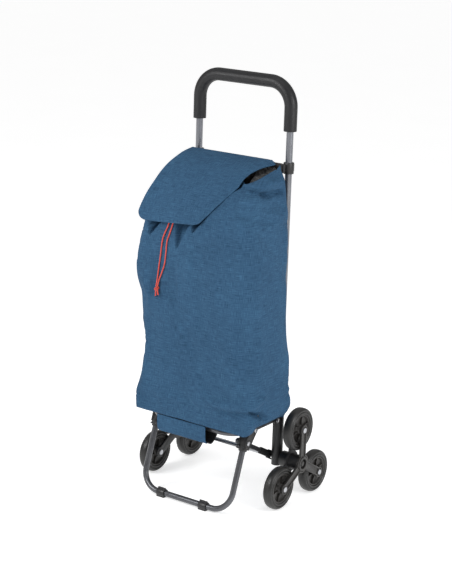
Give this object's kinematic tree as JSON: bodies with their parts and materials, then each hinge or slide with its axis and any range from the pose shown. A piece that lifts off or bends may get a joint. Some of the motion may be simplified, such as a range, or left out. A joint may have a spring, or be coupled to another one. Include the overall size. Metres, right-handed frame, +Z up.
{
  "type": "folding shopping trolley",
  "caption": "Folding shopping trolley with a soft bag and drawstring on a bent tube frame, fold-up platform and front leg, and three-wheel stair-climbing stars.",
  "frame": {"origin": "on the floor, at the middle of the footprint: halfway between the front of the foot clips and the back of the rear wheels, on the middle plane between the uprights", "axes": "+X to the trolley's right as seen from the front with the handle up, along the main axle; +Y to the rear, where the handle side and the user are; +Z up"},
  "size_m": [0.41, 0.3285, 1],
  "materials": {
    "frame_tube": "satin",
    "small_tube": "satin",
    "foam": "matte",
    "black_plastic": "matte",
    "star_plastic": "matte",
    "tyre": "matte",
    "bright_steel": "satin",
    "bag_cloth": "matte",
    "webbing": "matte",
    "drawstring": "matte",
    "base_board": "matte"
  },
  "bodies": {
    "frame": {"frame_tube": "frame_tube", "handle_grip": "foam", "lower_sleeve_left": "black_plastic", "lower_sleeve_right": "black_plastic", "main_axle": "bright_steel", "axle_nuts": "star_plastic", "platform_pins": "bright_steel", "top_clamp_left": "black_plastic", "top_clamp_right": "black_plastic", "bag_hanger_tabs": "webbing", "bag_body": "bag_cloth", "drawstring_eyelets": "bright_steel", "drawstring_left": "drawstring", "drawstring_right": "drawstring", "drawstring_knot": "drawstring"},
    "platform": {"platform_tube": "small_tube", "bag_base_board": "base_board", "strap_loop": "bag_cloth", "strap_fastener": "webbing"},
    "leg": {"leg_tube": "small_tube", "corner_bracket_left": "black_plastic", "corner_bracket_right": "black_plastic", "leg_hinge_pins": "bright_steel", "strut_pins": "bright_steel", "tie_rod": "bright_steel", "foot_clip_left": "black_plastic", "foot_clip_right": "black_plastic"},
    "strut_left": {"strut_left": "small_tube", "strut_end_left": "black_plastic"},
    "strut_right": {"strut_right": "small_tube", "strut_end_right": "black_plastic"},
    "flap": {"bag_flap": "bag_cloth"},
    "star_left": {"star_outer_left": "star_plastic", "star_inner_left": "star_plastic", "star_bolts_left": "bright_steel"},
    "wheel_left_top": {"tyre_left_top": "tyre", "rim_left_top": "star_plastic"},
    "wheel_left_front": {"tyre_left_front": "tyre", "rim_left_front": "star_plastic"},
    "wheel_left_rear": {"tyre_left_rear": "tyre", "rim_left_rear": "star_plastic"},
    "star_right": {"star_outer_right": "star_plastic", "star_inner_right": "star_plastic", "star_bolts_right": "bright_steel"},
    "wheel_right_top": {"tyre_right_top": "tyre", "rim_right_top": "star_plastic"},
    "wheel_right_front": {"tyre_right_front": "tyre", "rim_right_front": "star_plastic"},
    "wheel_right_rear": {"tyre_right_rear": "tyre", "rim_right_rear": "star_plastic"}
  },
  "joints": [
    {"name": "platform_fold", "type": "hinge", "parent": "frame", "child": "platform", "pos_m": [0, 0.017, 0.193], "axis": [-1, 0, 0], "range_deg": [0, 90], "deforming": ["bag_body"]},
    {"name": "leg_fold", "type": "hinge", "parent": "platform", "child": "leg", "pos_m": [0, -0.071, 0.193], "axis": [1, 0, 0], "range_deg": [0, 109]},
    {"name": "strut_left_fold", "type": "hinge", "parent": "leg", "child": "strut_left", "pos_m": [-0.1105, -0.0985, 0.168], "axis": [-1, 0, 0], "range_deg": [0, 65.5]},
    {"name": "strut_right_fold", "type": "hinge", "parent": "leg", "child": "strut_right", "pos_m": [0.1105, -0.0985, 0.168], "axis": [-1, 0, 0], "range_deg": [0, 65.5]},
    {"name": "flap_hinge", "type": "hinge", "parent": "frame", "child": "flap", "pos_m": [0, 0.02, 0.808], "axis": [-1, 0, 0], "range_deg": [0, 95]},
    {"name": "star_left_turn", "type": "hinge", "parent": "frame", "child": "star_left", "pos_m": [-0.1845, 0.039, 0.09325], "axis": [1, 0, 0], "continuous": true},
    {"name": "wheel_left_top_spin", "type": "hinge", "parent": "star_left", "child": "wheel_left_top", "pos_m": [-0.1845, 0.039, 0.17725], "axis": [1, 0, 0], "continuous": true},
    {"name": "wheel_left_front_spin", "type": "hinge", "parent": "star_left", "child": "wheel_left_front", "pos_m": [-0.1845, -0.03375, 0.05125], "axis": [1, 0, 0], "continuous": true},
    {"name": "wheel_left_rear_spin", "type": "hinge", "parent": "star_left", "child": "wheel_left_rear", "pos_m": [-0.1845, 0.11175, 0.05125], "axis": [1, 0, 0], "continuous": true},
    {"name": "star_right_turn", "type": "hinge", "parent": "frame", "child": "star_right", "pos_m": [0.1845, 0.039, 0.09325], "axis": [1, 0, 0], "continuous": true},
    {"name": "wheel_right_top_spin", "type": "hinge", "parent": "star_right", "child": "wheel_right_top", "pos_m": [0.1845, 0.039, 0.17725], "axis": [1, 0, 0], "continuous": true},
    {"name": "wheel_right_front_spin", "type": "hinge", "parent": "star_right", "child": "wheel_right_front", "pos_m": [0.1845, -0.03375, 0.05125], "axis": [1, 0, 0], "continuous": true},
    {"name": "wheel_right_rear_spin", "type": "hinge", "parent": "star_right", "child": "wheel_right_rear", "pos_m": [0.1845, 0.11175, 0.05125], "axis": [1, 0, 0], "continuous": true}
  ],
  "couplings": [
    {"joint": "leg_fold", "follows": "platform_fold", "ratio": 1.2111},
    {"joint": "strut_left_fold", "follows": "platform_fold", "ratio": 0.7277},
    {"joint": "strut_right_fold", "follows": "platform_fold", "ratio": 0.7277}
  ]
}
